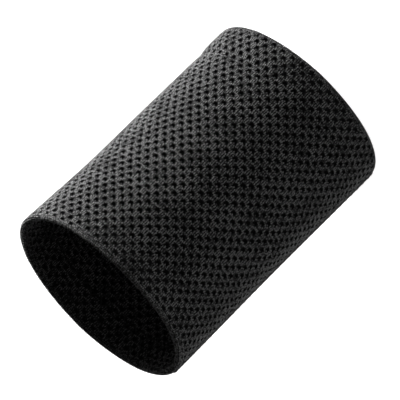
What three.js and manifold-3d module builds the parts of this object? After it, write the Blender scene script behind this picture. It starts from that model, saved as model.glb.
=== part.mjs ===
// A sweat wristband for racket sports: a short, stretchy sleeve of open mesh knit that slips over the
// hand and grips the wrist. Millimetres, +Z up. The band stands on the rim of its far hem, centred on
// the Z axis, with the mouth that the hand goes through at the top.
//
// Its wall has three layers. The outer mesh panel turns in over both rims. In the two hems it folds
// round an elastic loop, and between the hems an absorbent core lies behind it. A lining panel covers
// the core, and zigzag stitches join its edges to the edges of the turned-in hems.

import * as THREE from 'three';
import { mergeVertices } from 'three/addons/utils/BufferGeometryUtils.js';
import Module from 'manifold-3d';

// Driving dimensions
const BAND_LENGTH = 78; // from rim to rim
const OUTER_DIAMETER = 53.5; // 168 mm round, so 84 mm wide when the band is pressed flat
const MESH_THICKNESS = 0.6; // cloth of the outer panel
const LINING_THICKNESS = 0.6; // cloth of the lining panel
const CORE_THICKNESS = 0.6; // absorbent knit between them
const ELASTIC_THICKNESS = 0.6;
const ELASTIC_WIDTH = 7;
const HEM_WIDTH = 9; // how far the outer panel is turned in at each rim
const FOLD_RADIUS = 0.8; // outside corners of the folded rim, which leave a flat to stand on
const LEAST_FOLD_RADIUS = 0.1; // inside corners of the fold, where the cloth is thick for its bend
const THREAD_DIAMETER = 0.45;
const STITCH_LENGTH = 4; // one whole zigzag
const STITCH_REACH = 1.2; // how far a zigzag goes to each side of the joint that it closes
const SEAM_STRIP_WIDTH = 0.6; // the line of thread that joins the two side edges of a panel

// Clearances
const LAYER_GAP = 0.3; // between two pieces that touch
const THREAD_TAIL_GAP = 0.8; // between the first and the last stitch of a ring

// How finely round shapes are faceted; an arc in an outline gets two straight steps per division
const RING_SEGMENTS = 48;
const FOLD_DIVISIONS = 2;
const THREAD_DIVISIONS = 2;
const STEPS_PER_ZIGZAG = 4;

// Where the side edges of each layer meet, as an angle from +X, staggered so that they don't pile up
const OUTER_SEAM_ANGLE = 180;
const LINING_SEAM_ANGLE = -90;
const CORE_JOINT_ANGLE = 0;

// Radii of the layers, from the outside in
const outerRadius = OUTER_DIAMETER / 2;
const pocketOuterRadius = outerRadius - MESH_THICKNESS;
const pocketDepth = Math.max(CORE_THICKNESS, ELASTIC_THICKNESS) + 2 * LAYER_GAP;
const pocketInnerRadius = pocketOuterRadius - pocketDepth;
const hemInnerRadius = pocketInnerRadius - MESH_THICKNESS;
const liningInnerRadius = pocketInnerRadius - LINING_THICKNESS;
const boreRadius = Math.min(hemInnerRadius, liningInnerRadius);
const seamGap = SEAM_STRIP_WIDTH + 2 * LAYER_GAP;

// Heights where one layer ends and the next begins
const elasticLow = MESH_THICKNESS + LAYER_GAP;
const elasticHigh = elasticLow + ELASTIC_WIDTH;
const coreLow = elasticHigh + LAYER_GAP;
const coreHigh = BAND_LENGTH - coreLow;
const liningLow = HEM_WIDTH + LAYER_GAP;
const liningHigh = BAND_LENGTH - liningLow;

const wasm = await Module();
wasm.setup();

function toSolid(geometry) {
  const bare = geometry.clone();
  bare.deleteAttribute('normal');
  bare.deleteAttribute('uv');
  const merged = mergeVertices(bare, 1e-5);
  return new wasm.Manifold(new wasm.Mesh({
    numProp: 3,
    vertProperties: new Float32Array(merged.attributes.position.array),
    triVerts: new Uint32Array(merged.index.array),
  }));
}

function toGeometry(solid) {
  const mesh = solid.getMesh();
  const geometry = new THREE.BufferGeometry();
  geometry.setAttribute('position', new THREE.BufferAttribute(mesh.vertProperties, 3));
  geometry.setIndex(new THREE.BufferAttribute(mesh.triVerts, 1));
  geometry.computeVertexNormals();
  return geometry;
}

// Turns a closed outline of (radius, height) points round the Z axis.
function ring(outline) {
  const closed = [...outline, outline[0].clone()];
  const geometry = new THREE.LatheGeometry(closed, RING_SEGMENTS);
  geometry.rotateX(Math.PI / 2);
  return geometry;
}

function tube(inner, outer, low, high) {
  return ring([
    new THREE.Vector2(inner, low),
    new THREE.Vector2(outer, low),
    new THREE.Vector2(outer, high),
    new THREE.Vector2(inner, high),
  ]);
}

// Parts a ring from top to bottom at one angle, where the two edges of the strip meet.
function parted(geometry, angle, gap) {
  const slot = new THREE.BoxGeometry(outerRadius, gap, 3 * BAND_LENGTH);
  slot.translate(outerRadius, 0, BAND_LENGTH / 2);
  slot.rotateZ(THREE.MathUtils.degToRad(angle));
  return toGeometry(toSolid(geometry).subtract(toSolid(slot)));
}

// The outline of a box with round corners, in (radius, height), from its inner edge at one height
// round the bottom, up the outer wall and round the top to its inner edge at another height.
function wallOutline(inner, outer, low, high, cornerRadius, firstHeight, lastHeight) {
  const corner = Math.min(cornerRadius, (outer - inner) / 2);
  const outline = new THREE.Path();
  outline.moveTo(inner, firstHeight);
  outline.lineTo(inner, low + corner);
  outline.absarc(inner + corner, low + corner, corner, Math.PI, 1.5 * Math.PI, false);
  outline.absarc(outer - corner, low + corner, corner, 1.5 * Math.PI, 2 * Math.PI, false);
  outline.absarc(outer - corner, high - corner, corner, 0, 0.5 * Math.PI, false);
  outline.absarc(inner + corner, high - corner, corner, 0.5 * Math.PI, Math.PI, false);
  outline.lineTo(inner, lastHeight);
  return outline.getPoints(FOLD_DIVISIONS);
}

// One strip of mesh whose two long edges turn in over the rims and down inside.
function outerPanel() {
  const farHemEdge = HEM_WIDTH;
  const nearHemEdge = BAND_LENGTH - HEM_WIDTH;
  const outside = wallOutline(
    hemInnerRadius, outerRadius, 0, BAND_LENGTH, FOLD_RADIUS, farHemEdge, nearHemEdge,
  );
  const inside = wallOutline(
    pocketInnerRadius, pocketOuterRadius, MESH_THICKNESS, BAND_LENGTH - MESH_THICKNESS,
    Math.max(FOLD_RADIUS - MESH_THICKNESS, LEAST_FOLD_RADIUS), farHemEdge, nearHemEdge,
  );
  const outline = [...outside, ...inside.reverse()];
  return parted(ring(outline), OUTER_SEAM_ANGLE, seamGap);
}

function liningPanel() {
  const wall = tube(liningInnerRadius, pocketInnerRadius, liningLow, liningHigh);
  return parted(wall, LINING_SEAM_ANGLE, seamGap);
}

function absorbentCore() {
  const outer = pocketOuterRadius - LAYER_GAP;
  const wall = tube(outer - CORE_THICKNESS, outer, coreLow, coreHigh);
  return parted(wall, CORE_JOINT_ANGLE, LAYER_GAP);
}

function hemElastic(low) {
  const outer = pocketOuterRadius - LAYER_GAP;
  return tube(outer - ELASTIC_THICKNESS, outer, low, low + ELASTIC_WIDTH);
}

// A wave of thread that runs round the inside of the band, across one joint.
class ZigzagRing extends THREE.Curve {
  constructor(radius, height, waves, tailGap) {
    super();
    this.radius = radius;
    this.height = height;
    this.waves = waves;
    this.sweep = 2 * Math.PI - tailGap / radius;
  }

  getPoint(t, target = new THREE.Vector3()) {
    const angle = t * this.sweep;
    const rise = STITCH_REACH * Math.sin(2 * Math.PI * this.waves * t);
    return target.set(
      this.radius * Math.cos(angle),
      this.radius * Math.sin(angle),
      this.height + rise,
    );
  }
}

function hemStitches(height) {
  const radius = boreRadius - LAYER_GAP - THREAD_DIAMETER / 2;
  const waves = Math.round(2 * Math.PI * radius / STITCH_LENGTH);
  const section = new THREE.Shape();
  section.absarc(0, 0, THREAD_DIAMETER / 2, 0, 2 * Math.PI, false);
  return new THREE.ExtrudeGeometry(section, {
    extrudePath: new ZigzagRing(radius, height, waves, THREAD_TAIL_GAP),
    steps: waves * STEPS_PER_ZIGZAG,
    curveSegments: THREAD_DIVISIONS,
    bevelEnabled: false,
  });
}

// The straight line of thread that lies between the two side edges of a panel.
function sideSeam(inner, outer, low, high, angle) {
  const strip = new THREE.BoxGeometry(outer - inner, SEAM_STRIP_WIDTH, high - low);
  strip.translate((inner + outer) / 2, 0, (low + high) / 2);
  strip.rotateZ(THREE.MathUtils.degToRad(angle));
  return strip;
}

function blackCloth(color, roughness) {
  return new THREE.MeshStandardMaterial({ color, roughness, metalness: 0 });
}

const wristband = new THREE.Group();

function addPiece(name, geometry, material) {
  const piece = new THREE.Mesh(geometry, material);
  piece.name = name;
  wristband.add(piece);
}

addPiece('outer_mesh_panel', outerPanel(), blackCloth(0x26272a, 0.85));
addPiece('lining_mesh_panel', liningPanel(), blackCloth(0x1a1b1d, 0.9));
addPiece('absorbent_core', absorbentCore(), blackCloth(0x101113, 1));
addPiece('near_hem_elastic', hemElastic(BAND_LENGTH - elasticHigh), blackCloth(0x18191b, 0.8));
addPiece('far_hem_elastic', hemElastic(elasticLow), blackCloth(0x18191b, 0.8));
addPiece(
  'near_hem_stitches',
  hemStitches(BAND_LENGTH - HEM_WIDTH - LAYER_GAP / 2),
  blackCloth(0x2a2b2e, 0.6),
);
addPiece('far_hem_stitches', hemStitches(HEM_WIDTH + LAYER_GAP / 2), blackCloth(0x2a2b2e, 0.6));
addPiece(
  'outer_side_seam',
  sideSeam(pocketOuterRadius, outerRadius, FOLD_RADIUS, BAND_LENGTH - FOLD_RADIUS, OUTER_SEAM_ANGLE),
  blackCloth(0x2a2b2e, 0.6),
);
addPiece(
  'lining_side_seam',
  sideSeam(liningInnerRadius, pocketInnerRadius, liningLow, liningHigh, LINING_SEAM_ANGLE),
  blackCloth(0x2a2b2e, 0.6),
);

export default wristband;
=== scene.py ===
# %% [markdown]
# # A sweat wristband in open mesh knit
#
# The object is a short, stretchy sleeve that tennis and squash players wear on the wrist. Its outer
# cloth is a black polyester mesh with a hole every three millimetres or so, turned in over both rims.
# Behind it lie an absorbent core, two hem elastics and a lining of the same mesh, all held by thread.
#
# The whole lesson rests on one idea: **lay it flat, then wrap it.** A knitter makes flat cloth, and a
# sewer rolls it into a sleeve. So each cloth, and each row of stitches, is first laid out flat with
# Geometry Nodes, where its pattern is a simple repeat, and one small function then bends it along the
# section of the real wall.

# %% Load the frame
import math

import bmesh
import bpy
import numpy as np
from mathutils import Matrix, Vector
from mathutils.kdtree import KDTree


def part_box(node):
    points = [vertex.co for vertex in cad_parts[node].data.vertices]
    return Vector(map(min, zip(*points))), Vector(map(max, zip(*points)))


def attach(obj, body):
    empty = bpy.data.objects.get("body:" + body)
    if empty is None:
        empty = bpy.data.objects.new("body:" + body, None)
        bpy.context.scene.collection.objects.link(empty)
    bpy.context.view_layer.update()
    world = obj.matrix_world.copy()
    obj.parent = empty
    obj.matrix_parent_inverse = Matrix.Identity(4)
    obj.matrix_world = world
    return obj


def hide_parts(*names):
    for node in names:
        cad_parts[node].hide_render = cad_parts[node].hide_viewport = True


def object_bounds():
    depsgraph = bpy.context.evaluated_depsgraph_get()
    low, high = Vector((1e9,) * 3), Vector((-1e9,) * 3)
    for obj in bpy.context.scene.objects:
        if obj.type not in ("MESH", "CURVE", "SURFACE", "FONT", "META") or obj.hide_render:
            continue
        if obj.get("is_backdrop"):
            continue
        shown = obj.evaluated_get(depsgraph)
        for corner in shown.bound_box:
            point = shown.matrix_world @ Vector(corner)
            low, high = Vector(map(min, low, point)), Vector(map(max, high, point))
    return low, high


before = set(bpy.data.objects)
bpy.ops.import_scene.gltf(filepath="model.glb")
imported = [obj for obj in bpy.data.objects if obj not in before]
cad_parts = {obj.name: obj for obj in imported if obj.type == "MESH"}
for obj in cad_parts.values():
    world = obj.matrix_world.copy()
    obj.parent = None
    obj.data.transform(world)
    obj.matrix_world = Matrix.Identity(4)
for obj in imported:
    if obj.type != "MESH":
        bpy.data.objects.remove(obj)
cad_low, cad_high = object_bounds()
MM = 0.001

# %% [markdown]
# ## Sizes
#
# The frame already holds every layer at its real size, so the script asks it for boxes and never
# types a radius of its own. What the frame can't tell is the cloth itself: how thick one layer is and
# how far apart its holes are. Those are the driving values here.

# %% Read the sizes of the layers
outer_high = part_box("outer_mesh_panel")[1]
lining_low, lining_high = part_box("lining_mesh_panel")
core_low, core_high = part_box("absorbent_core")

CLOTH = 0.6 * MM  # one layer of mesh, from its back to the top of its yarn loops
COLUMN_PITCH = 3.2 * MM  # between two holes in a course
COURSE_PITCH = 1.67 * MM  # between two courses, whose holes are staggered by half a column
COURSE_RISE = -0.04  # how much the courses climb along the cloth: a slight skew from finishing
FOLD = 0.5 * MM  # radius of the folded rims, at the middle of the cloth
EDGE_GAP = 0.06 * MM  # between two cloth edges that meet at a seam
HEM_GAP = 0.05 * MM  # between the raw edge of a hem and that of the lining
LAYER_GAP = 0.3 * MM  # between two layers

band_length = outer_high.z
outer_middle = outer_high.x - CLOTH / 2
inner_middle = lining_high.x - CLOTH / 2
hem_edge = lining_low.z - HEM_GAP
print(f"band {band_length / MM:.1f} mm long, {2 * outer_high.x / MM:.1f} mm across")

# %% [markdown]
# ## Camera
#
# The band stands on its far rim, but it is seen from a little above its mouth, with the picture turned
# so that the mouth points down to the left. A long lens far away keeps the two rims almost the same
# width. The camera's matrix is written from its three axes, which is the plainest way to give a roll.

# %% Place the camera
VIEW_ELEVATION = math.radians(20.0)
VIEW_DISTANCE = 4.0
VIEW_WIDTH = 0.1044  # what the picture spans at the band
LEAN = math.radians(0.9)  # the sleeve leans a little to its right
IMAGE_ANGLE = math.radians(225)  # where the sleeve's axis points in the picture, from its right edge
AIM_RIGHT, AIM_RISE = -0.13 * MM, 0.4 * MM  # from the middle of the leaning sleeve

camera_data = bpy.data.cameras.new("studio_camera")
camera = bpy.data.objects.new("studio_camera", camera_data)
bpy.context.scene.collection.objects.link(camera)
bpy.context.scene.camera = camera
camera_data.lens = camera_data.sensor_width * VIEW_DISTANCE / VIEW_WIDTH

aim = Vector((math.tan(LEAN) * band_length / 2 + AIM_RIGHT, 0, band_length / 2 + AIM_RISE))
forward = Vector((0, math.cos(VIEW_ELEVATION), -math.sin(VIEW_ELEVATION)))
level_right = Vector((1, 0, 0))
level_up = level_right.cross(forward)
roll = IMAGE_ANGLE - math.pi / 2 + LEAN
right = level_right * math.cos(roll) - level_up * math.sin(roll)
up = level_right * math.sin(roll) + level_up * math.cos(roll)
axes = Matrix((right, up, -forward)).transposed().to_4x4()
camera.matrix_world = Matrix.Translation(aim - forward * VIEW_DISTANCE) @ axes
print(f"camera {VIEW_DISTANCE:.0f} m away, which takes a lens of {camera_data.lens:.0f} mm")

# %% [markdown]
# ## Nodes
#
# Shader trees and geometry trees are both built from nodes with settings, values and links. One helper
# adds any node to any tree, and everything else stays visible where it is used.

# %% Define the node helper
def add(tree, kind, links=None, values=None, **settings):
    """Adds one node to a tree, with its settings, its typed-in values and the sockets that feed it."""
    node = tree.nodes.new(kind)
    for name, value in settings.items():
        setattr(node, name, value)
    for key, value in (values or {}).items():
        node.inputs[key].default_value = value
    for key, socket in (links or {}).items():
        tree.links.new(socket, node.inputs[key])
    return node


def linear(hex_colour):
    """Turns an sRGB hex colour such as #1c1d20 into the linear values that a shader wants."""
    parts = [int(hex_colour[i : i + 2], 16) / 255 for i in (1, 3, 5)]
    made = [c / 12.92 if c <= 0.04045 else ((c + 0.055) / 1.055) ** 2.4 for c in parts]
    return (*made, 1.0)


print(f"the grey #808080 is {linear('#808080')[0]:.2f} in linear light")

# %% [markdown]
# ## Stage and light
#
# Black cloth shows its shape only where light grazes it. The key softbox stands at the band's right,
# a little behind it, so that the light falls off from that side to the middle and the weave stands out
# in between. A weak one at the left lights the other edge. Both are low, so that they light the wall
# but not the inside of the mouth, which has a faint softbox of its own from the front. The floor and
# the room are white to the eye, and the room gives an even, dim light that fills the rest.

# %% Make the floor, the room and the lights
FLOOR_SIZE = 40.0
PAPER_GLOW = 0.92  # brings the floor up to white where the dim room leaves it grey
ROOM_LIGHT = 0.17
LIGHT_DISTANCE = 0.7
LIGHTS = {  # angle round from the front, height, watts, width, how tall
    "key_softbox": (101, 0.04, 44.0, 0.35, 0.07),
    "rim_softbox": (-87, 0.04, 1.5, 0.25, 0.07),
    "mouth_softbox": (-10, 0.26, 0.45, 0.25, 0.25),
}

floor_mesh = bpy.data.meshes.new("floor")
half = FLOOR_SIZE / 2
floor_corners = [(-half, -half, 0), (half, -half, 0), (half, half, 0), (-half, half, 0)]
floor_mesh.from_pydata(floor_corners, [], [(0, 1, 2, 3)])
floor = bpy.data.objects.new("floor", floor_mesh)
bpy.context.scene.collection.objects.link(floor)
floor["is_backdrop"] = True

paper = bpy.data.materials.new("white_studio_paper")
paper.use_nodes = True
paper_shader = paper.node_tree.nodes["Principled BSDF"]
paper_shader.inputs["Base Color"].default_value = linear("#e6e6e6")
paper_shader.inputs["Roughness"].default_value = 1.0
paper_shader.inputs["Specular IOR Level"].default_value = 0.0
paper_shader.inputs["Emission Color"].default_value = (1, 1, 1, 1)
paper_shader.inputs["Emission Strength"].default_value = PAPER_GLOW
floor_mesh.materials.append(paper)

world = bpy.data.worlds.new("pale_room")
bpy.context.scene.world = world
world.use_nodes = True
world.node_tree.nodes.clear()
seen = add(world.node_tree, "ShaderNodeLightPath").outputs["Is Camera Ray"]
strength = add(
    world.node_tree, "ShaderNodeMapRange", {"Value": seen}, {"To Min": ROOM_LIGHT, "To Max": 1.0}
)
backdrop = add(
    world.node_tree, "ShaderNodeBackground", {"Strength": strength.outputs["Result"]},
    {"Color": (1, 1, 1, 1)},
)
add(world.node_tree, "ShaderNodeOutputWorld", {"Surface": backdrop.outputs["Background"]})

for name, (angle, height, power, wide, tall) in LIGHTS.items():
    light_data = bpy.data.lights.new(name, "AREA")
    light_data.energy = power
    light_data.shape = "RECTANGLE"
    light_data.size, light_data.size_y = wide, tall
    light = bpy.data.objects.new(name, light_data)
    bpy.context.scene.collection.objects.link(light)
    turn = math.radians(angle)
    light.location = (LIGHT_DISTANCE * math.sin(turn), -LIGHT_DISTANCE * math.cos(turn), height)
    light.rotation_euler = (aim - light.location).to_track_quat("-Z", "Y").to_euler()
    light.visible_camera = False

bpy.context.scene.view_settings.view_transform = "Standard"
print(f"{len(LIGHTS)} softboxes, in a room {ROOM_LIGHT:.2f} as bright as the backdrop looks")

# %% [markdown]
# ## Cloth and thread materials
#
# Every yarn here is polyester, dyed black before it was knitted or woven. Textured filaments scatter
# light, so the yarn is matt, and only where light grazes it do the loose fibres give a soft grey
# sheen. The face stitches are the brightest: their light grey streaks are the yarn's uneven tone and,
# in part, painted glints. The ground behind them is the same yarn, painted far darker as the shade
# that the stitches cast on it. The absorbent core is a black pile and the woven elastic is dull, and
# both are painted darker than black cloth, as the shade inside the holes through which they show. The
# sewing thread is tightly twisted, so it has the least fibre to show.
#
# The filaments are too fine to model, so they come from a bump. It reads the cloth's own flat
# coordinates in metres, kept in its UV map, and follows the yarn round the band and over the rims.

# %% Define the yarn material
FILAMENT = 0.38 * MM  # a bundle of filaments: single ones are finer than the picture can show
FIBRE_HEIGHT = 0.28 * MM  # of the bump
CLOUD = 9 * MM  # slow change of tone, from uneven finishing
CLOUD_SHARE = 0.2  # of the tone, beside that of the filaments
DARK_TO_LIGHT = (0.57, 0.64)  # the narrow range of the noise in which one grey gives way to the other
ROUGHNESS = (0.55, 0.9)
SHEEN_ROUGHNESS = 0.35


def yarn_material(name, dark, light, sheen, relief, gloss=0.15):
    """Black polyester: streaks of a dark and a light grey, a fibre bump and a soft sheen. A far lighter
    grey paints glints.
    """
    made = bpy.data.materials.new(name)
    made.use_nodes = True
    tree = made.node_tree
    shader = tree.nodes["Principled BSDF"]
    flat = add(tree, "ShaderNodeTexCoord").outputs["UV"]
    stretch = {"Scale": (1 / FILAMENT, 0.5 / FILAMENT, 1)}  # streaks twice as long as wide
    streaks = add(tree, "ShaderNodeMapping", {"Vector": flat}, stretch)
    fine = {"Scale": 1.0, "Detail": 3.0}
    fibres = add(tree, "ShaderNodeTexNoise", {"Vector": streaks.outputs[0]}, fine)
    cloud = add(tree, "ShaderNodeTexNoise", {"Vector": flat}, {"Scale": 1 / CLOUD, "Detail": 2.0})
    uneven = add(
        tree, "ShaderNodeMath", {0: cloud.outputs[0], 2: fibres.outputs[0]}, {1: CLOUD_SHARE},
        operation="MULTIPLY_ADD",
    )
    share = add(
        tree, "ShaderNodeMapRange", {"Value": uneven.outputs[0]},
        {"From Min": DARK_TO_LIGHT[0], "From Max": DARK_TO_LIGHT[1]},
    )
    colour = add(tree, "ShaderNodeValToRGB", {"Fac": share.outputs[0]})
    colour.color_ramp.elements[0].color = linear(dark)
    colour.color_ramp.elements[1].color = linear(light)
    rough = add(
        tree, "ShaderNodeMapRange", {"Value": fibres.outputs[0]},
        {"To Min": ROUGHNESS[0], "To Max": ROUGHNESS[1]},
    )
    bump = add(
        tree, "ShaderNodeBump", {"Height": fibres.outputs[0]},
        {"Strength": relief, "Distance": FIBRE_HEIGHT},
    )
    tree.links.new(colour.outputs[0], shader.inputs["Base Color"])
    tree.links.new(rough.outputs[0], shader.inputs["Roughness"])
    tree.links.new(bump.outputs[0], shader.inputs["Normal"])
    shader.inputs["Specular IOR Level"].default_value = gloss
    shader.inputs["Sheen Weight"].default_value = sheen
    shader.inputs["Sheen Roughness"].default_value = SHEEN_ROUGHNESS
    return made


# the face yarn's light grey streaks are its uneven tone and, in part, painted glints of the filaments
face_stitch_yarn_tone_and_painted_glints = yarn_material("black_polyester_face_stitch_yarn_tone_and_painted_glints", "#000000", "#525252", 0.07, 0.6)
# the ground is the same yarn as the stitches, painted far darker as the shade that they cast on it
ground_yarn_painted_shade = yarn_material("black_polyester_ground_knit_painted_shade", "#020202", "#0b0b0b", 0.0, 0.6, gloss=0.06)
# the core is black pile, painted darker still as the shade inside the holes
core_yarn_painted_shade = yarn_material("black_microfibre_pile_painted_shade", "#010101", "#040404", 0.0, 0.8, gloss=0.06)
# the elastic is black, painted darker still as the shade inside the hem's holes
elastic_yarn_painted_shade = yarn_material("black_woven_elastic_painted_shade", "#040404", "#0c0c0c", 0.0, 0.6, gloss=0.08)
sewing_thread = yarn_material("black_core_spun_thread", "#0b0b0b", "#1c1c1c", 0.0, 0.4)
for yarn in (face_stitch_yarn_tone_and_painted_glints, ground_yarn_painted_shade, core_yarn_painted_shade, elastic_yarn_painted_shade, sewing_thread):
    print(yarn.name)

# %% [markdown]
# ## From flat cloth to sleeve
#
# Cloth has three flat coordinates: how far around the band, how far along it, and how high above the
# cloth's middle. The section of the wall is a line in the plane of radius and height. Walking along
# that line turns the second coordinate into a place on the section, and the line's normal says which
# way the third one points, so one cloth can run up the outside, over a rim and down the inside.

# %% Define the wall's section
def section(points):
    """A line of (radius, height) points, with the length walked and the way that the cloth faces."""
    line = np.array(points, float)
    step = np.gradient(line, axis=0)
    step /= np.linalg.norm(step, axis=1)[:, None]
    walked = np.concatenate([[0], np.cumsum(np.linalg.norm(np.diff(line, axis=0), axis=1))])
    return {"walked": walked, "at": line, "facing": np.stack([step[:, 1], -step[:, 0]], 1)}


def straight(radius, first, last, steps=60):
    """The section of a plain wall, which faces out where it rises and in where it falls."""
    return section([(radius, z) for z in np.linspace(first, last, steps)])


def corner(centre_radius, centre_height, radius, first_angle, steps=10):
    """A quarter of a circle of the section, turning to the left."""
    angles = first_angle + np.linspace(0, math.pi / 2, steps)
    places = [(math.cos(a), math.sin(a)) for a in angles]
    return [(centre_radius + radius * x, centre_height + radius * y) for x, y in places]


def folded_section(steps=12):
    """From the far raw edge inside the band, round the far rim, up the wall and round the near rim."""
    low, high = CLOTH / 2 + FOLD, band_length - CLOTH / 2 - FOLD
    outside, inside = outer_middle - FOLD, inner_middle + FOLD
    down = [(inner_middle, z) for z in np.linspace(hem_edge, low, steps, endpoint=False)]
    rise = [(outer_middle, z) for z in np.linspace(low, high, 8 * steps)[1:-1]]
    back = [(inner_middle, z) for z in np.linspace(high, band_length - hem_edge, steps)[1:]]
    far_rim = corner(inside, low, FOLD, math.pi) + corner(outside, low, FOLD, 1.5 * math.pi)
    near_rim = corner(outside, high, FOLD, 0) + corner(inside, high, FOLD, 0.5 * math.pi)
    return section(down + far_rim + rise + near_rim + back)


print(f"the outer cloth's section is {folded_section()['walked'][-1] / MM:.1f} mm long")

# %% [markdown]
# A real band is never a perfect tube. Its far hem is a little fuller than the wall above it, its mouth
# flares on the side where a hand has stretched it, it keeps two soft creases from lying flat in a
# packet, and the whole sleeve leans. Every layer goes through the same function, so they settle
# together and never cut through one another.

# %% Define how the sleeve settles
FULLNESS, TAPER = 0.3 * MM, 0.3 * MM  # soft cloth stands out all over, and more towards the mouth
HEM_SWELL, HEM_FADE = 0.25 * MM, (6 * MM, 11 * MM)  # the far hem, fullest at the right
WAIST_DEPTH, WAIST_EVEN = 0.05 * MM, 0.6  # above it the wall pulls in, a little more at the right
WAIST_START, WAIST_END = (6 * MM, 12 * MM), (14 * MM, 40 * MM)
HEM_VALLEY, VALLEY_EVEN = 1.0 * MM, 0.25  # between the two, deepest at the right of the front
VALLEY_HEIGHT, VALLEY_REACH = 9.5 * MM, 1.5 * MM
MOUTH_FLARE, FLARE_BEND = 1.7 * MM, 1.3  # at the right
FLARE_SPAN = (0.5, 1.15)  # in lengths of the band
CREASE_HEIGHT, CREASE_REACH = 0.28 * MM, 3.5 * MM
CREASE_ANGLE = math.radians(2.5)
RIPPLE = 0.1 * MM
RIPPLES = ((3, 5, 0, 1), (7, -9, 1, 0.5))  # waves round, along, where they start, how strong
MOUTH_TILT, MOUTH_RISE = -0.35 * MM, 0.6 * MM  # the mouth stands higher, most of all at the left
MOUTH_DIP, MOUTH_SCALLOP = 0.4 * MM, 1.4 * MM  # its front hangs lower, and more so beside the middle
FOOT_LIFT, FOOT_EVEN = 0.35 * MM, 1.5  # the far rim rests on the floor at the left only
TILT_SPAN, DIP_SPAN, FOOT_SPAN = (0.3, 1), (0.6, 1), (0, 0.5)  # in lengths of the band


def smooth_step(value, start, end):
    """Rises from 0 at start to 1 at end, with no corner."""
    t = np.clip((value - start) / (end - start), 0, 1)
    return t * t * (3 - 2 * t)


def settle(points):
    """Moves points of a perfect tube to where the worn cloth of the real one lies."""
    x, y, z = points.T
    angle = np.arctan2(x, -y)
    radius = np.hypot(x, y)
    side = np.maximum(np.sin(angle), 0)
    share = z / band_length
    rightness = (1 + np.sin(angle)) / 2
    swell = HEM_SWELL * rightness * (1 - smooth_step(z, *HEM_FADE))
    waist = WAIST_DEPTH * smooth_step(z, *WAIST_START) * (1 - smooth_step(z, *WAIST_END))
    waist = waist * (WAIST_EVEN + (1 - WAIST_EVEN) * side)
    flare = MOUTH_FLARE * side**2 * smooth_step(share, *FLARE_SPAN) ** FLARE_BEND
    crease = 0
    for centre in (CREASE_ANGLE, CREASE_ANGLE + math.pi):
        away = np.abs(np.angle(np.exp(1j * (angle - centre)))) * radius
        crease = crease + CREASE_HEIGHT * np.exp(-away / CREASE_REACH)
    waves = sum(part * np.sin(n * angle + m * share + start) for n, m, start, part in RIPPLES)
    corner_front = np.maximum(np.sin(2 * angle), 0) * (angle > 0)
    deep = VALLEY_EVEN * rightness + (1 - VALLEY_EVEN) * corner_front
    valley = HEM_VALLEY * deep * np.exp(-(((z - VALLEY_HEIGHT) / VALLEY_REACH) ** 2))
    full = FULLNESS + TAPER * share
    grown = radius + full + swell - waist - valley + flare + crease + RIPPLE * waves
    tilt = MOUTH_TILT * np.sin(angle) * smooth_step(share, *TILT_SPAN) + MOUTH_RISE * share
    tilt = tilt + FOOT_LIFT * (FOOT_EVEN + np.sin(angle)) * (1 - smooth_step(share, *FOOT_SPAN))
    front = np.maximum(np.cos(angle), 0) * smooth_step(share, *DIP_SPAN)
    tilt = tilt - front * (MOUTH_DIP + MOUTH_SCALLOP * np.sin(angle) ** 2)
    leant = grown * np.sin(angle) + math.tan(LEAN) * z
    return np.stack([leant, -grown * np.cos(angle), z + tilt], 1)


def wrap(flat, wall, around_radius, turned):
    """Bends flat points, (around, along, above) in metres, round the band along a section."""
    around, along, above = flat.T
    radius, height = (np.interp(along, wall["walked"], wall["at"][:, i]) for i in (0, 1))
    out, lift = (np.interp(along, wall["walked"], wall["facing"][:, i]) for i in (0, 1))
    angle = around / around_radius + turned
    radius = radius + above * out
    return settle(np.stack([radius * np.sin(angle), -radius * np.cos(angle), height + above * lift], 1))


mouth_right = np.array([[outer_high.x, 0.0, band_length]])
moved = np.linalg.norm(settle(mouth_right) - mouth_right)
print(f"the right edge of the mouth settles {moved / MM:.1f} mm away from the perfect tube")

# %% [markdown]
# The flat coordinates stay with the cloth as its UV map, in metres, so that a material can follow the
# yarn. Faces are shaded smooth, as yarn is round. Only the raw edges and the walls of the holes stay
# crisp, because they are cut.

# %% Turn a flat mesh into a piece of the band
UPRIGHT = 0.05  # a flat face whose normal rises less than this is a cut edge, and stays crisp


def flat_points(mesh):
    """The vertices of a mesh as an array."""
    points = np.zeros(3 * len(mesh.vertices))
    mesh.vertices.foreach_get("co", points)
    return points.reshape(-1, 3)


def wrapped_piece(name, mesh, wall, around_radius, turned=0.0):
    """Keeps a flat mesh's own coordinates as its UV map, wraps the mesh and makes it an object."""
    flat = flat_points(mesh)
    corners = np.zeros(len(mesh.loops), int)
    mesh.loops.foreach_get("vertex_index", corners)
    for layer in list(mesh.uv_layers):
        mesh.uv_layers.remove(layer)
    mesh.uv_layers.new(name="cloth").data.foreach_set("uv", flat[corners, :2].ravel())
    facing = np.zeros(3 * len(mesh.polygons))
    mesh.polygons.foreach_get("normal", facing)
    mesh.polygons.foreach_set("use_smooth", np.abs(facing[2::3]) > UPRIGHT)
    mesh.vertices.foreach_set("co", wrap(flat, wall, around_radius, turned).ravel())
    mesh.update()
    mesh.name = name
    piece = bpy.data.objects.new(name, mesh)
    bpy.context.scene.collection.objects.link(piece)
    triangles = sum(len(p.vertices) - 2 for p in mesh.polygons)
    print(f"{name}: {triangles} triangles")
    return piece
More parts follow.
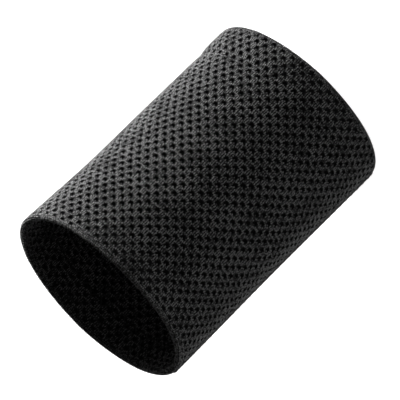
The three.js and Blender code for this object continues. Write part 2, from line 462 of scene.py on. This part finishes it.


# %% [markdown]
# ## Laying out repeats with Geometry Nodes
#
# Bricks of cloth, knit stitches and sewing stitches all repeat on a lattice of columns and courses, so
# one tree lays out all of them. It staggers every other course, welds neighbours that share an edge
# into one sheet, and skews the finished sheet last, so that bricks still fit each other.

# %% Build the tree that repeats
def repeat_tree():
    """Lays a shape out in courses, staggered, welded into one sheet and skewed."""
    tree = bpy.data.node_groups.new("repeat_over_cloth", "GeometryNodeTree")
    sockets = {
        "Geometry": "Geometry", "Repeat": "Object", "Material": "Material",
        "Columns": "Int", "Courses": "Int", "Column Pitch": "Float", "Course Pitch": "Float",
        "Stagger": "Float", "Rise": "Float", "Weld": "Float",
    }
    for name, kind in sockets.items():
        tree.interface.new_socket(name, in_out="INPUT", socket_type="NodeSocket" + kind)
    tree.interface.new_socket("Geometry", in_out="OUTPUT", socket_type="NodeSocketGeometry")
    given = add(tree, "NodeGroupInput").outputs

    def maths(operation, first, second):
        """One operation on two sockets or numbers."""
        pair = {0: first, 1: second}
        links = {i: s for i, s in pair.items() if not isinstance(s, (int, float))}
        values = {i: s for i, s in pair.items() if isinstance(s, (int, float))}
        return add(tree, "ShaderNodeMath", links, values, operation=operation).outputs[0]

    width = maths("MULTIPLY", maths("SUBTRACT", given["Columns"], 1), given["Column Pitch"])
    length = maths("MULTIPLY", maths("SUBTRACT", given["Courses"], 1), given["Course Pitch"])
    grid = add(tree, "GeometryNodeMeshGrid", {
        "Vertices X": given["Columns"], "Vertices Y": given["Courses"],
        "Size X": width, "Size Y": length,
    })
    place = add(tree, "ShaderNodeSeparateXYZ", {0: add(tree, "GeometryNodeInputPosition").outputs[0]})
    from_start = maths("ADD", place.outputs["Y"], maths("MULTIPLY", length, 0.5))
    course = maths("ROUND", maths("DIVIDE", from_start, given["Course Pitch"]), 0)
    odd = maths("SUBTRACT", maths("MODULO", course, 2), 0.5)
    step_aside = maths("MULTIPLY", odd, maths("MULTIPLY", given["Column Pitch"], given["Stagger"]))
    aside = add(tree, "ShaderNodeCombineXYZ", {"X": step_aside})
    shifted = add(
        tree, "GeometryNodeSetPosition", {"Geometry": grid.outputs[0], "Offset": aside.outputs[0]}
    )
    shape = add(tree, "GeometryNodeObjectInfo", {"Object": given["Repeat"]})
    copies = add(
        tree, "GeometryNodeInstanceOnPoints",
        {"Points": shifted.outputs[0], "Instance": shape.outputs["Geometry"]},
    )
    real = add(tree, "GeometryNodeRealizeInstances", {0: copies.outputs[0]})
    sheet = add(
        tree, "GeometryNodeMergeByDistance", {"Geometry": real.outputs[0], "Distance": given["Weld"]}
    )
    across = add(tree, "ShaderNodeSeparateXYZ", {0: add(tree, "GeometryNodeInputPosition").outputs[0]})
    climbed = maths("MULTIPLY", across.outputs["X"], given["Rise"])
    climb = add(tree, "ShaderNodeCombineXYZ", {"Y": climbed})
    skewed = add(
        tree, "GeometryNodeSetPosition", {"Geometry": sheet.outputs[0], "Offset": climb.outputs[0]}
    )
    dyed = add(
        tree, "GeometryNodeSetMaterial", {"Geometry": skewed.outputs[0], "Material": given["Material"]}
    )
    add(tree, "NodeGroupOutput", {0: dyed.outputs[0]})
    return tree


repeating = repeat_tree()
print(f"{repeating.name}: {len(repeating.nodes)} nodes")

# %% [markdown]
# A second, smaller tree sews one stitch on every point of a plan. The points carry two numbers of
# their own: how far the stitch stands up, and how far it may turn. Chance is seeded, so the cloth is
# the same each time that it is knitted.

# %% Build the tree that puts a stitch on every point
def stitch_tree():
    """Puts a stitch on every point of a mesh, turned and moved a little by chance."""
    tree = bpy.data.node_groups.new("stitch_on_every_point", "GeometryNodeTree")
    sockets = {
        "Geometry": "Geometry", "Stitch": "Object", "Material": "Material",
        "Turn": "Float", "Stray": "Float", "Seed": "Int",
    }
    for name, kind in sockets.items():
        tree.interface.new_socket(name, in_out="INPUT", socket_type="NodeSocket" + kind)
    tree.interface.new_socket("Geometry", in_out="OUTPUT", socket_type="NodeSocketGeometry")
    given = add(tree, "NodeGroupInput").outputs
    chance = add(
        tree, "FunctionNodeRandomValue", {"Seed": given["Seed"]}, {2: -1.0, 3: 1.0}, data_type="FLOAT"
    )
    turn = add(tree, "ShaderNodeMath", {0: chance.outputs[1], 1: given["Turn"]}, operation="MULTIPLY")
    turned = add(tree, "ShaderNodeCombineXYZ", {"Z": turn.outputs[0]})
    sway = add(
        tree, "FunctionNodeRandomValue", {"Seed": given["Seed"]},
        {0: (-1.0, -1.0, 0.0), 1: (1.0, 1.0, 0.0)}, data_type="FLOAT_VECTOR",
    )
    stray = add(
        tree, "ShaderNodeVectorMath", {0: sway.outputs[0], "Scale": given["Stray"]}, operation="SCALE"
    )
    strewn = add(
        tree, "GeometryNodeSetPosition", {"Geometry": given["Geometry"], "Offset": stray.outputs[0]}
    )
    lift = add(tree, "GeometryNodeInputNamedAttribute", data_type="FLOAT")
    lift.inputs["Name"].default_value = "lift"
    size = add(tree, "ShaderNodeCombineXYZ", {"Z": lift.outputs["Attribute"]}, {"X": 1.0, "Y": 1.0})
    shape = add(tree, "GeometryNodeObjectInfo", {"Object": given["Stitch"]})
    copies = add(tree, "GeometryNodeInstanceOnPoints", {
        "Points": strewn.outputs[0], "Instance": shape.outputs["Geometry"],
        "Rotation": turned.outputs[0], "Scale": size.outputs[0],
    })
    real = add(tree, "GeometryNodeRealizeInstances", {0: copies.outputs[0]})
    dyed = add(
        tree, "GeometryNodeSetMaterial", {"Geometry": real.outputs[0], "Material": given["Material"]}
    )
    add(tree, "NodeGroupOutput", {0: dyed.outputs[0]})
    return tree


stitching = stitch_tree()
print(f"{stitching.name}: {len(stitching.nodes)} nodes")

# %% [markdown]
# A tree runs as a modifier on an object that carries it. The band has to stand without modifiers, so
# the result is turned into a plain mesh at once, and the carrier goes.

# %% Run a tree
def made_by(tree, inputs, mesh=None):
    """Runs a tree on a carrier, starting from a mesh if it needs one, and returns a plain mesh."""
    carrier = bpy.data.objects.new("carrier", mesh or bpy.data.meshes.new("carrier"))
    bpy.context.scene.collection.objects.link(carrier)
    modifier = carrier.modifiers.new("tree", "NODES")
    modifier.node_group = tree
    names = {s.name: s.identifier for s in tree.interface.items_tree if s.in_out == "INPUT"}
    for name, value in inputs.items():
        modifier[names[name]] = value
    graph = bpy.context.evaluated_depsgraph_get()
    made = bpy.data.meshes.new_from_object(carrier.evaluated_get(graph))
    bpy.data.objects.remove(carrier)
    made.materials.clear()  # drops the empty slot that an undyed repeat leaves
    made.materials.append(inputs["Material"])
    made.polygons.foreach_set("material_index", np.zeros(len(made.polygons), int))
    return made


def shape_object(name, mesh):
    """Makes an object of a bmesh, for a tree to repeat."""
    data = bpy.data.meshes.new(name)
    mesh.to_mesh(data)
    mesh.free()
    print(f"{name}: {len(data.polygons)} faces")
    return bpy.data.objects.new(name, data)


# %% [markdown]
# ## The bricks
#
# The mesh is a chequerboard of holes. Each is wider towards the mouth, like a bell, and one brick of
# cloth with its hole is all that has to be drawn. The core and the elastics are closed cloths, made of
# the same brick with a raised middle instead of a hole.

# %% Model the bricks
HOLE_OUTLINE = [  # in columns and courses, anticlockwise from the right
    (0.23, 0.1), (0.2, 0.43), (0.0, 0.28), (-0.2, 0.43),
    (-0.23, 0.1), (-0.14, -0.27), (0.0, -0.36), (0.14, -0.27),
]
BRICK_OUTLINE = [
    (0.5, 0.0), (0.5, 0.5), (0.0, 0.5), (-0.5, 0.5),
    (-0.5, 0.0), (-0.5, -0.5), (0.0, -0.5), (0.5, -0.5),
]


def outline_ring(mesh, outline, column, course, height):
    """The corners of an outline, at one height."""
    return [mesh.verts.new((x * column, y * course, height)) for x, y in outline]


def join_rings(mesh, rings):
    """Fills the strips between rings of equal count, each with the next."""
    for ring, following in zip(rings, rings[1:]):
        for i in range(len(ring)):
            j = (i + 1) % len(ring)
            mesh.faces.new((ring[i], ring[j], following[j], following[i]))


def holed_brick(column, course, top, back):
    """A brick of mesh cloth, open at its sides, with a hole through it."""
    mesh = bmesh.new()
    rings = [
        outline_ring(mesh, outline, column, course, height)
        for outline, height in (
            (BRICK_OUTLINE, top), (HOLE_OUTLINE, top), (HOLE_OUTLINE, back), (BRICK_OUTLINE, back),
        )
    ]
    join_rings(mesh, rings)
    return shape_object("holed_brick", mesh)


def raised_brick(column, course, edge, top):
    """A brick of closed cloth, open at its sides, whose two faces swell from edge to top."""
    mesh = bmesh.new()
    for side in (1, -1):
        ring = outline_ring(mesh, BRICK_OUTLINE, column, course, side * edge)
        middle = mesh.verts.new((0, 0, side * top))
        for i in range(len(ring)):
            face = (ring[i], ring[(i + 1) % len(ring)], middle)
            mesh.faces.new(face if side > 0 else face[::-1])
    return shape_object("raised_brick", mesh)


# %% [markdown]
# ## The stitches of the mesh
#
# A warp knit shows rows of small slanted stitches, called wales, that run along the band. Six wales
# and three courses of them fill one brick, less the three stitches that the hole takes away. The ones
# beside a hole carry the yarn round it and stand up; the one between two holes lies low. The plan
# holds a point for each stitch of a brick, and the stitch itself is a seed of seven faces. A real mesh
# has about twice as many, half the size: they are drawn this coarse so that they can be seen.

# %% Plan the stitches of a brick
WALES = 6
ROWS = 3
STITCH_WIDTH = 0.86 * COLUMN_PITCH / WALES  # leaves a groove between two wales
STITCH_LENGTH = 1.15 * COURSE_PITCH / ROWS  # each stitch overlaps the next
STITCH_RISE = 0.17 * MM
STITCH_SINK = 0.03 * MM  # how far its base goes into the ground
RIDGE = (0.26, -0.16)  # from where to where its ridge runs, in lengths of the stitch
STITCH_PLAN = [  # place in columns and courses from the hole, and how far the stitch stands up
    (-0.32, -0.33, 1.1), (-0.165, -0.44, 0.9), (0, -0.52, 1.0), (0.165, -0.44, 0.9), (0.32, -0.33, 1.1),
    (-0.3, 0, 1.3), (0.3, 0, 1.3),
    (-0.32, 0.33, 1.1), (-0.165, 0.6, 0.8), (0, 0.42, 1.3), (0.165, 0.6, 0.8), (0.32, 0.33, 1.1),
    (0.5, -0.29, 0.5), (0.5, 0, 0.4), (0.5, 0.29, 0.5),
]
PLAIN_LIFT = 0.8
PLAIN_PLAN = [  # a brick that has no hole
    ((wale + 0.5) / WALES - 0.5, (row + 0.5) / ROWS - 0.5, PLAIN_LIFT)
    for wale in range(WALES)
    for row in range(ROWS)
]


def stitch_plan(name, stitches):
    """The stitches of one brick, as loose points with their lift."""
    data = bpy.data.meshes.new(name)
    places = [(x * COLUMN_PITCH, y * COURSE_PITCH, 0) for x, y, lift in stitches]
    data.from_pydata(places, [], [])
    lifts = data.attributes.new("lift", "FLOAT", "POINT")
    lifts.data.foreach_set("value", [lift for x, y, lift in stitches])
    return bpy.data.objects.new(name, data)


def knit_stitch():
    """A seed of yarn: a long diamond with a short ridge, which lies nearer to its round end."""
    mesh = bmesh.new()
    around = [(0.5, 0), (0, 0.5), (-0.5, 0), (0, -0.5)]
    right, tip, left, tail = (
        mesh.verts.new((x * STITCH_WIDTH, y * STITCH_LENGTH, -STITCH_SINK)) for x, y in around
    )
    high, low = (mesh.verts.new((0, y * STITCH_LENGTH, STITCH_RISE)) for y in RIDGE)
    for face in (
        (right, tip, high), (tip, left, high), (left, tail, low), (tail, right, low),
        (right, high, low), (left, low, high), (right, tail, left, tip),
    ):
        mesh.faces.new(face)
    return shape_object("knit_stitch", mesh)


brick = holed_brick(COLUMN_PITCH, COURSE_PITCH, 0.0, -CLOTH / 2)
mesh_plan = stitch_plan("mesh_plan", STITCH_PLAN)
plain_plan = stitch_plan("plain_plan", PLAIN_PLAN)
stitch = knit_stitch()
print(f"{len(STITCH_PLAN)} stitches round each hole, {len(PLAIN_PLAN)} in a plain brick")

# %% [markdown]
# ## Knitting and cutting
#
# The tree lays out a little more than is needed. A cutter then trims the cloth to size along four
# straight lines, and so does this cell: each cut leaves clean edges, which are closed so that the
# sheet stays solid. Stitches that a cut would split are dropped, as they would unravel.

# %% Define knitting and cutting
SPARE = 3  # repeats laid out past each edge, for the scissors
WELD = 0.02 * MM  # points nearer than this become one
TURN = 0.3  # the most that chance turns a stitch, in radians
STRAY = 0.06 * MM  # and the most that it moves one


def lay(
    repeat, material, width, length,
    column=COLUMN_PITCH, course=COURSE_PITCH, rise=COURSE_RISE, weld=WELD,
):
    """Lays a repeat over more than width by length, centred on the cloth."""
    climb = abs(rise) * width
    mesh = made_by(repeating, {
        "Repeat": repeat, "Material": material, "Rise": rise, "Stagger": 0.5, "Weld": weld,
        "Columns": math.ceil(width / column) + 2 * SPARE,
        "Courses": math.ceil((length + climb) / course) + 2 * SPARE,
        "Column Pitch": column, "Course Pitch": course,
    })
    points = flat_points(mesh)
    points[:, 1] += length / 2
    mesh.vertices.foreach_set("co", points.ravel())
    return mesh


def close_edges(cloth):
    """Joins the two faces of a cut sheet along its raw edges, and returns how many stay open."""
    raw = [e for e in cloth.edges if e.is_boundary]
    height = sum(v.co.z for e in raw for v in e.verts) / (2 * len(raw))
    upper = [e for e in raw if min(v.co.z for v in e.verts) > height]
    lower = {v for e in raw if max(v.co.z for v in e.verts) < height for v in e.verts}
    below = list(lower)
    tree = KDTree(len(below))
    for i, vertex in enumerate(below):
        tree.insert((vertex.co.x, vertex.co.y, 0), i)
    tree.balance()
    for edge in upper:
        first, second = edge.verts
        partners = [below[tree.find((v.co.x, v.co.y, 0))[1]] for v in (first, second)]
        if partners[0] != partners[1]:
            cloth.faces.new((second, first, *partners))
    bmesh.ops.recalc_face_normals(cloth, faces=cloth.faces)
    return sum(not e.is_manifold for e in cloth.edges)


def cut_cloth(mesh, width, length):
    """Trims a sheet to width by length and closes its cut edges."""
    cloth = bmesh.new()
    cloth.from_mesh(mesh)
    for place, away in (
        ((width / 2, 0, 0), (1, 0, 0)), ((-width / 2, 0, 0), (-1, 0, 0)),
        ((0, length, 0), (0, 1, 0)), ((0, 0, 0), (0, -1, 0)),
    ):
        everything = cloth.verts[:] + cloth.edges[:] + cloth.faces[:]
        bmesh.ops.bisect_plane(cloth, geom=everything, plane_co=place, plane_no=away, clear_outer=True)
    left = close_edges(cloth)
    cloth.to_mesh(mesh)
    cloth.free()
    print(f"cut cloth {width / MM:.1f} x {length / MM:.1f} mm, {left} open edges")
    return mesh


def stitch_places(plan, width, length):
    """Where a plan puts the stitches of a cloth, and how far each stands up."""
    points = lay(plan, face_stitch_yarn_tone_and_painted_glints, width, length, weld=0.0)
    lifts = np.zeros(len(points.vertices))
    points.attributes["lift"].data.foreach_get("value", lifts)
    return np.column_stack([flat_points(points), lifts])


def knit_stitches(width, length, seed, stripe=(0.0, 0.0)):
    """The stitches of a cloth, in two halves: those round its middle, and those near its sides."""
    rows = []
    for plan, is_plain in ((mesh_plan, False), (plain_plan, True)):
        places = stitch_places(plan, width, length)
        from_edge = np.minimum(places[:, 1], length - places[:, 1])
        in_stripe = (from_edge > stripe[0]) & (from_edge < stripe[1])
        rows.append(places[in_stripe == is_plain])
    places = np.concatenate(rows)
    at, lifts = places[:, :3], places[:, 3]
    kept = (
        (np.abs(at[:, 0]) < width / 2 - STITCH_WIDTH / 2)
        & (at[:, 1] > STITCH_LENGTH / 4)
        & (at[:, 1] < length - STITCH_LENGTH / 4)
    )
    middle = np.abs(at[:, 0]) < width / 4
    halves = []
    for chosen in (kept & middle, kept & ~middle):
        half = bpy.data.meshes.new("stitch_places")
        half.from_pydata(at[chosen].tolist(), [], [])
        half.attributes.new("lift", "FLOAT", "POINT").data.foreach_set("value", lifts[chosen])
        inputs = {"Stitch": stitch, "Material": face_stitch_yarn_tone_and_painted_glints, "Turn": TURN, "Stray": STRAY, "Seed": seed}
        halves.append(made_by(stitching, inputs, half))
        print(f"{chosen.sum()} stitches")
    return halves


# %% [markdown]
# ## The outer mesh
#
# One strip of mesh, 166 mm wide and 98 mm long, makes the whole outside. Its two sides meet at the
# left, and its two ends turn in over the rims and end nine millimetres down inside the band. Where it
# turns over a rim, the stitches close up into a plain stripe, so the folded edge is firm and even. The
# stitches are two pieces, because one would be too heavy.

# %% Knit the outer mesh
PLAIN_STRIPE = (7.6 * MM, 11.4 * MM)  # where it starts and ends, from each raw edge

outer_wall = folded_section()
outer_length = outer_wall["walked"][-1]
outer_width = 2 * math.pi * outer_middle - EDGE_GAP
ground = cut_cloth(lay(brick, ground_yarn_painted_shade, outer_width, outer_length), outer_width, outer_length)
outer_ground = wrapped_piece("outer_mesh_ground", ground, outer_wall, outer_middle, math.pi / 2)
right_half, left_half = knit_stitches(outer_width, outer_length, seed=7, stripe=PLAIN_STRIPE)
outer_right, outer_left = (
    wrapped_piece(name, half, outer_wall, outer_middle, math.pi / 2)
    for name, half in (
        ("outer_mesh_stitches_right", right_half), ("outer_mesh_stitches_left", left_half),
    )
)

# %% [markdown]
# ## The lining
#
# The lining is a shorter strip of the same mesh, whose face looks into the band. Its sides meet at the
# front, a quarter turn away from the outer ones, so that two seams never lie on top of each other.

# %% Knit the lining
lining_wall = straight(inner_middle, lining_high.z, lining_low.z)
lining_length = lining_wall["walked"][-1]
lining_width = 2 * math.pi * inner_middle - EDGE_GAP
ground = cut_cloth(lay(brick, ground_yarn_painted_shade, lining_width, lining_length), lining_width, lining_length)
lining_ground = wrapped_piece("lining_mesh_ground", ground, lining_wall, inner_middle, math.pi)
back, front = knit_stitches(lining_width, lining_length, seed=11)
lining_front = wrapped_piece("lining_mesh_stitches_front", front, lining_wall, inner_middle, math.pi)
lining_back = wrapped_piece("lining_mesh_stitches_back", back, lining_wall, inner_middle, math.pi)

# %% [markdown]
# ## The absorbent core
#
# Between the two meshes lies the cloth that soaks up the sweat. It is a thick microfibre knit with a
# short pile in tufts. Only spots of it show, through the holes, so its pile is modelled in shape but
# coarsely. Its colour is darker than black cloth: it is painted with the shade inside the holes, so
# that they look black.

# %% Make the core
TUFT = 1.6 * MM  # real tufts are finer: these are only glimpsed
TUFT_EDGE = 0.32  # height of a tuft's edge from the middle of the cloth, in thicknesses
core_thick = core_high.y - lining_high.x - LAYER_GAP
core_middle = core_high.y - core_thick / 2
tuft = raised_brick(TUFT, TUFT, TUFT_EDGE * core_thick, 0.5 * core_thick)
core_wall = straight(core_middle, core_low.z, core_high.z)
core_length = core_wall["walked"][-1]
core_width = 2 * math.pi * core_middle - EDGE_GAP
pile = cut_cloth(
    lay(tuft, core_yarn_painted_shade, core_width, core_length, TUFT, TUFT, rise=0.0), core_width, core_length
)
core = wrapped_piece("absorbent_core_pile", pile, core_wall, core_middle, -math.pi / 2)

# %% [markdown]
# ## The hem elastics
#
# A woven elastic, 7 mm wide, lies in the fold of each hem and keeps the rims round. Its weft makes
# fine ribs across it. The loop is closed by an overlap that the hem hides, so it is left out here. Its
# colour is darker than black cloth, painted with the shade inside the hem's holes, where it shows.

# %% Make the elastics
RIB = 0.9 * MM  # a real one is half as wide, but the hem hides it
RIB_EDGE, RIB_TOP = 0.2 * MM, 0.3 * MM  # heights from the middle of the web
WEB_SPARE = 0.28 * MM  # how much nearer to the fold it lies, and to the core, than the CAD solid
rib = raised_brick(RIB, 2 * RIB, RIB_EDGE, RIB_TOP)


def elastic_loop(name, node):
    """A woven elastic in the place of a node of the frame."""
    low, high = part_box(node)
    middle = high.x - RIB_TOP
    wall = straight(middle, low.z - WEB_SPARE, high.z + WEB_SPARE)
    width, length = 2 * math.pi * middle - EDGE_GAP, wall["walked"][-1]
    cloth = cut_cloth(lay(rib, elastic_yarn_painted_shade, width, length, RIB, 2 * RIB, rise=0.0), width, length)
    return wrapped_piece(name, cloth, wall, middle, math.pi)


near_elastic = elastic_loop("near_hem_elastic_web", "near_hem_elastic")
far_elastic = elastic_loop("far_hem_elastic_web", "far_hem_elastic")

# %% [markdown]
# ## The sewing
#
# A machine's zigzag closes the joint between each hem and the lining, because a zigzag can stretch as
# the cloth does. The side edges of each panel butt together under a flatlock seam: two rows of needle
# thread with a cover thread that runs to and fro between them. A stitch is thread that dives into the
# cloth at both ends and rises a little in between, so each one is swept along such an arch.

# %% Model the sewing stitches
THREAD = 0.32 * MM  # a little thicker than life, so that it can be seen
ZIGZAG = 4.0 * MM
ZIGZAG_REACH = 1.2 * MM
SEAM_STEP = 2.2 * MM
SEAM_REACH = 1.7 * MM
DIVE, ARCH_RISE, ARCH_BEND = -0.1 * MM, CLOTH / 2, 0.6  # at the needle holes, midway, and how square


def arch(first, last, steps=4):
    """Points from one needle hole to the next, rising over the cloth in between."""
    points = []
    for i in range(steps + 1):
        t = i / steps
        x, y = (a + (b - a) * t for a, b in zip(first, last))
        points.append((x, y, DIVE + (ARCH_RISE - DIVE) * math.sin(math.pi * t) ** ARCH_BEND))
    return points


def add_thread(mesh, points):
    """Sweeps a thread of four sides along a line and closes both of its ends."""
    line = [Vector(p) for p in points]
    rings = []
    for i, centre in enumerate(line):
        along = (line[min(i + 1, len(line) - 1)] - line[max(i - 1, 0)]).normalized()
        across = along.cross(Vector((0, 0, 1))).normalized()
        over = across.cross(along)
        sides = [across, over, -across, -over]
        rings.append([mesh.verts.new(centre + side * THREAD / 2) for side in sides])
    join_rings(mesh, rings)
    mesh.faces.new(rings[0])
    mesh.faces.new(rings[-1][::-1])


def sewing_unit(name, lines):
    """One repeat of a row of sewing, from the lines that its threads follow."""
    mesh = bmesh.new()
    for line in lines:
        add_thread(mesh, line)
    bmesh.ops.recalc_face_normals(mesh, faces=mesh.faces)
    return shape_object(name, mesh)


left, peak, right = (-ZIGZAG / 2, -ZIGZAG_REACH), (0, ZIGZAG_REACH), (ZIGZAG / 2, -ZIGZAG_REACH)
zigzag = sewing_unit("zigzag_stitch", [arch(left, peak) + arch(peak, right)[1:]])

low, mid, top = (-SEAM_REACH, -SEAM_STEP / 2), (SEAM_REACH, 0), (-SEAM_REACH, SEAM_STEP / 2)
flatlock = sewing_unit("flatlock_stitch", [
    arch(low, mid) + arch(mid, top)[1:],
    arch(low, top, 3),
    arch((SEAM_REACH, -SEAM_STEP / 2), (SEAM_REACH, SEAM_STEP / 2), 3),
])

# %% [markdown]
# The rows are laid out by the same tree as the cloth, and wrapped along the wall that they hold. So the
# outer seam runs over both rims, as its cloth does, and ends with it inside the band.

# %% Sew the hems and the sides
def sewn(name, unit, columns, courses, column, course, wall, around_radius, turned):
    """A row of sewing stitches, wrapped like the cloth that it holds."""
    mesh = made_by(repeating, {
        "Repeat": unit, "Material": sewing_thread, "Columns": columns, "Courses": courses,
        "Column Pitch": column, "Course Pitch": course, "Stagger": 0.0, "Rise": 0.0, "Weld": 0.0,
    })
    points = flat_points(mesh)
    points[:, 1] += wall["walked"][-1] / 2
    mesh.vertices.foreach_set("co", points.ravel())
    return wrapped_piece(name, mesh, wall, around_radius, turned)


def sewn_hem(name, node):
    """A zigzag round the band, across the joint between a hem and the lining."""
    low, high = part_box(node)
    count = round(2 * math.pi * inner_middle / ZIGZAG) - 1
    wall = straight(inner_middle, high.z, low.z)
    return sewn(name, zigzag, count, 1, ZIGZAG, ZIGZAG, wall, inner_middle, math.pi / 2)


def sewn_side(name, wall, around_radius, turned):
    """A flatlock seam along the two side edges of a panel."""
    count = math.floor(wall["walked"][-1] / SEAM_STEP) - 1
    return sewn(name, flatlock, 1, count, SEAM_STEP, SEAM_STEP, wall, around_radius, turned)


near_stitches = sewn_hem("near_hem_zigzag", "near_hem_stitches")
far_stitches = sewn_hem("far_hem_zigzag", "far_hem_stitches")
outer_seam = sewn_side("outer_side_flatlock", outer_wall, outer_middle, -math.pi / 2)
lining_seam = sewn_side("lining_side_flatlock", lining_wall, inner_middle, 0.0)

# %% [markdown]
# ## Joining the frame
#
# The band has no rigid moving parts, so every piece rides on the one body. Each names the CAD solid
# that it stands for, which is hidden, and a material slot.

# %% Ride and replace
PIECES = {
    "outer_mesh_panel": ("outer_mesh", [outer_ground, outer_right, outer_left]),
    "lining_mesh_panel": ("lining_mesh", [lining_ground, lining_front, lining_back]),
    "absorbent_core": ("core_knit", [core]),
    "near_hem_elastic": ("elastic", [near_elastic]),
    "far_hem_elastic": ("elastic", [far_elastic]),
    "near_hem_stitches": ("thread", [near_stitches]),
    "far_hem_stitches": ("thread", [far_stitches]),
    "outer_side_seam": ("thread", [outer_seam]),
    "lining_side_seam": ("thread", [lining_seam]),
}
for node, (slot, pieces) in PIECES.items():
    for piece in pieces:
        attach(piece, "root")
        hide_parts(node)

count = sum(len(pieces) for slot, pieces in PIECES.values())
print(f"{count} pieces stand for {len(PIECES)} solids")

# %% [markdown]
# The soft shape may stand a little proud of the CAD solids, but it must not change the band's size.
# Both boxes are written down, so that they can be compared.

# %% Write both boxes and finish
new_low, new_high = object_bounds()
for name, low, high in (("CAD", cad_low, cad_high), ("visual", new_low, new_high)):
    print(f"{name} box {[round(v / MM, 1) for v in low]} to {[round(v / MM, 1) for v in high]} mm")
